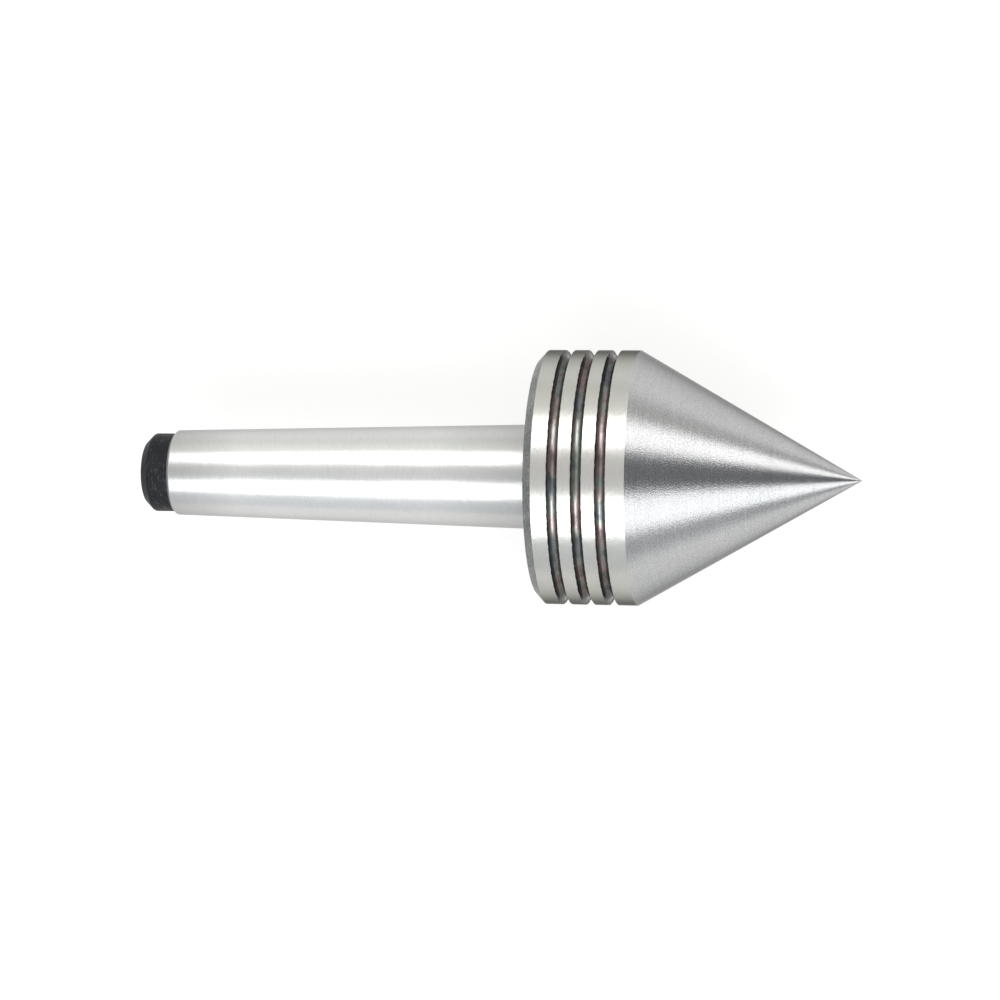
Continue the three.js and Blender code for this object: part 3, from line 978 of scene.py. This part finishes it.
def add_outer_ring(b, material):
    start = nose(b["start"])
    end = start + b["width"]
    groove = b["seal_outer"] + FIT
    corners = [
        (start, b["outer"], OUTER_RING_FILLET, 0),
        (end, b["outer"], OUTER_RING_FILLET, 0),
        (end, groove, EDGE, 0),
        (end - b["recess"], groove, EDGE, 0),
        (end - b["recess"], b["outer_land"], EDGE, 0),
        *raceway(b, start + b["width"] / 2, b["outer_land"], 1),
        (start + b["recess"], b["outer_land"], EDGE, 0),
        (start + b["recess"], groove, EDGE, 0),
        (start, groove, EDGE, 0),
    ]
    fitted_ring(f"{b['name']}_outer", "head", corners, material, f"{b['name']}_outer_ring")


def add_inner_ring(b, material):
    start = nose(b["start"])
    end = start + b["width"]
    bore = b["bore"] + FIT
    corners = [
        (start, b["inner_land"], LAND_FILLET, 0),
        *raceway(b, start + b["width"] / 2, b["inner_land"], -1),
        (end, b["inner_land"], LAND_FILLET, 0),
        (end, bore, INNER_RING_FILLET, 0),
        (start, bore, INNER_RING_FILLET, 0),
    ]
    fitted_ring(f"{b['name']}_inner", "arbor", corners, material, f"{b['name']}_inner_ring")


def add_seals(b, kind, material):
    """A seal or shield at each side, dished on its outer face, with a raised rim and an inner lip."""
    start = nose(b["start"])
    end = start + b["width"]
    thick = b["seal_thick"]
    low, high = b["seal_inner"], b["seal_outer"]
    dish = SEAL_DISH * thick
    for place, x, out in (("rear", start + b["seal_inset"], -1), ("front", end - b["seal_inset"], 1)):
        face = [
            (x, low + SEAL_LIP, SEAL_LIP_FILLET),
            (x, low, SEAL_EDGE),
            (x - out * thick, low, SEAL_EDGE),
            (x - out * thick, high, SEAL_EDGE),
            (x, high, SEAL_RIM_FILLETS[0]),
            (x, high - SEAL_RIM, SEAL_RIM_FILLETS[1]),
            (x - out * dish, high - SEAL_RIM - SEAL_SLOPE, SEAL_DISH_FILLET),
            (x - out * dish, low + SEAL_RIM, SEAL_DISH_FILLET),
        ]
        corners = [(*corner, 0) for corner in (reversed(face) if out < 0 else face)]
        name = f"{b['name']}_{place}"
        fitted_ring(f"{name}_cover", "head", corners, material, f"{name}_{kind}")


def ribbon_sections(b):
    """Sections round a ribbon, as (angle, inner, outer): how far its two faces lie from the balls' plane."""
    pocket = b["ball"] + RIBBON_ROOM
    wrap = pocket + RIBBON_THICK
    reach = math.asin(wrap / b["pitch"])
    half_gap = math.pi / b["count"] - reach
    sections = []
    for ball in range(b["count"]):
        middle = 2 * math.pi * ball / b["count"]
        for step in range(-RIBBON_STEPS, RIBBON_STEPS):
            swing = math.sin(math.pi / 2 * step / RIBBON_STEPS)
            offset = swing * wrap
            inner = math.sqrt(max(pocket ** 2 - offset ** 2, 0))
            outer = math.sqrt(max(wrap ** 2 - offset ** 2, 0))
            sections.append((middle + swing * reach, max(inner, RIBBON_HALF_GAP), max(outer, RIBBON_THICK)))
        for share in (0.0, 0.5, 1.0, 1.5):
            sections.append((middle + reach + share * half_gap, RIBBON_HALF_GAP, RIBBON_THICK))
    return sections


def add_ribbon_cage(b, material):
    """Two pressed ribbons that wrap the balls from both sides and meet between them."""
    centre = nose(b["start"]) + b["width"] / 2
    low, high = b["cage_inner"], b["cage_outer"]
    shell = bmesh.new()
    for side in (-1, 1):
        rings = []
        for angle, inner, outer in ribbon_sections(b):
            ring = []
            for offset, radius in ((inner, low), (inner, high), (outer, high), (outer, low)):
                spot = Vector((centre + side * offset, radius * math.cos(angle), radius * math.sin(angle)))
                ring.append(shell.verts.new(spot * MM))
            rings.append(ring)
        for ring, after in zip(rings, rings[1:] + rings[:1]):
            for i in range(4):
                k = (i + 1) % 4
                shell.faces.new((ring[i], ring[k], after[k], after[i]))
    bmesh.ops.recalc_face_normals(shell, faces=shell.faces)
    mesh = bpy.data.meshes.new("ribbon_cage")
    shell.to_mesh(mesh)
    shell.free()
    mesh.polygons.foreach_set("use_smooth", [True] * len(mesh.polygons))
    mesh.set_sharp_from_angle(angle=RIBBON_SHARP_TURN)
    piece = add_piece(f"{b['name']}_ribbon", mesh, [material])
    stand_for(piece, b["cage_body"], f"{b['name']}_cage")


def add_thrust_bearing(steel, brass):
    t = THRUST_BEARING
    start = nose(t["start"])
    end = start + t["height"]
    centre = start + t["height"] / 2
    radius = t["ball"] + RACE_ROOM
    depth = t["height"] / 2 - t["washer"]
    half = math.acos(depth / radius)
    reach = radius * math.sin(half)
    spot = (centre, t["pitch"])
    behind, ahead = start + t["washer"], end - t["washer"]
    shaft_side = [
        (start, t["bore"] + FIT, WASHER_FILLET, 0),
        (start, t["shaft_outer"], WASHER_FILLET, 0),
        (behind, t["shaft_outer"], WASHER_FILLET, 0),
        (behind, t["pitch"] + reach, RACE_FILLET, 0),
        *arc(spot, radius, math.pi - half, math.pi + half, WASHER_STEPS, 0),
        (behind, t["pitch"] - reach, RACE_FILLET, 0),
        (behind, t["bore"] + FIT, WASHER_FILLET, 0),
    ]
    housing_side = [
        (ahead, t["housing_inner"], WASHER_FILLET, 0),
        (ahead, t["pitch"] - reach, RACE_FILLET, 0),
        *arc(spot, radius, -half, half, WASHER_STEPS, 0),
        (ahead, t["pitch"] + reach, RACE_FILLET, 0),
        (ahead, t["outer"], WASHER_FILLET, 0),
        (end, t["outer"], WASHER_FILLET, 0),
        (end, t["housing_inner"], WASHER_FILLET, 0),
    ]
    for washer, body, corners in (
        ("shaft_washer", "arbor", shaft_side),
        ("housing_washer", "head", housing_side),
    ):
        fitted_ring(washer, body, corners, steel, f"{t['name']}_{washer}")
    holes = [(0, 0, t["cage_inner"])]
    for i in range(t["count"]):
        turn = 2 * math.pi * i / t["count"]
        holes.append((t["pitch"] * math.cos(turn), t["pitch"] * math.sin(turn), t["ball"] + DRILLED_ROOM))
    rear_face = centre - t["cage_thick"] / 2
    cage = plate(
        "drilled_cage", circle(t["cage_outer"]), holes, rear_face, t["cage_thick"], DRILLED_BEVEL, [brass],
    )
    stand_for(cage, t["cage_body"], f"{t['name']}_cage")
    add_balls(t, centre, steel)


# ---- Circlips ----

CIRCLIP_GAP = math.radians(16)
CIRCLIP_LUG = math.radians(15)
CIRCLIP_STEPS = 90
CIRCLIP_BEVEL = 0.1
LUG_STEPS = 6
LUG_SHOULDER = 1.25
LUG_HOLE_PLACE = 0.6
BODY_THINNING = 0.25


def add_circlip(c, material):
    """An open ring with a drilled lug each side of its gap. side is -1 on one that sits in a bore."""
    gap = CIRCLIP_GAP * c["spread"]
    lug_arc = CIRCLIP_LUG * c["spread"]
    top = math.pi / 2
    first, last = top + gap, top + 2 * math.pi - gap

    def at(radius, angle):
        return radius * math.cos(angle), radius * math.sin(angle)

    outline = []
    for i in range(CIRCLIP_STEPS + 1):
        outline.append(at(c["grip"], first + (last - first) * i / CIRCLIP_STEPS))
    tall = c["grip"] + c["side"] * c["lug"]
    for i in range(LUG_STEPS + 1):
        outline.append(at(tall, last - lug_arc * i / LUG_STEPS))
    shoulder = LUG_SHOULDER * lug_arc
    for i in range(CIRCLIP_STEPS + 1):
        angle = last - shoulder + (first - last + 2 * shoulder) * i / CIRCLIP_STEPS
        thin = BODY_THINNING * (1 + math.cos(angle - top))
        outline.append(at(c["grip"] + c["side"] * c["wide"] * (1 - thin), angle))
    for i in range(LUG_STEPS + 1):
        outline.append(at(tall, first + lug_arc * (1 - i / LUG_STEPS)))
    hole_radius = c["grip"] + c["side"] * c["lug"] * LUG_HOLE_PLACE
    holes = [(*at(hole_radius, angle), c["hole"]) for angle in (first + lug_arc / 2, last - lug_arc / 2)]
    start = nose(c["start"]) + CIRCLIP_ROOM
    piece = plate(f"{c['name']}_plate", outline, holes, start, c["thick"], CIRCLIP_BEVEL, [material])
    stand_for(piece, c["body"], c["name"])


# ---- The scene ----

bpy.context.scene.view_settings.view_transform = "Standard"
add_camera()
add_floor()
add_world()
add_lamp("upper", SOFTBOX_UPPER, UPPER_COLOR)
add_lamp("lower", SOFTBOX_LOWER, LOWER_COLOR)
add_shank()
add_head()

ring_steel = polished_steel()
sheet_steel = pressed_steel()
clip_steel = spring_steel()
for radial, cover, cover_slot, cover_material in (
    (REAR_BEARING, "seal", "nitrile", nitrile_rubber()),
    (FRONT_BEARING, "shield", "pressed_steel", sheet_steel),
):
    add_outer_ring(radial, ring_steel)
    add_inner_ring(radial, ring_steel)
    add_seals(radial, cover, cover_material)
    add_ribbon_cage(radial, sheet_steel)
    add_balls(radial, nose(radial["start"]) + radial["width"] / 2, ring_steel)
add_thrust_bearing(ring_steel, turned_brass())
for clip in (HEAD_CIRCLIP, JOURNAL_CIRCLIP, STUB_CIRCLIP):
    add_circlip(clip, clip_steel)
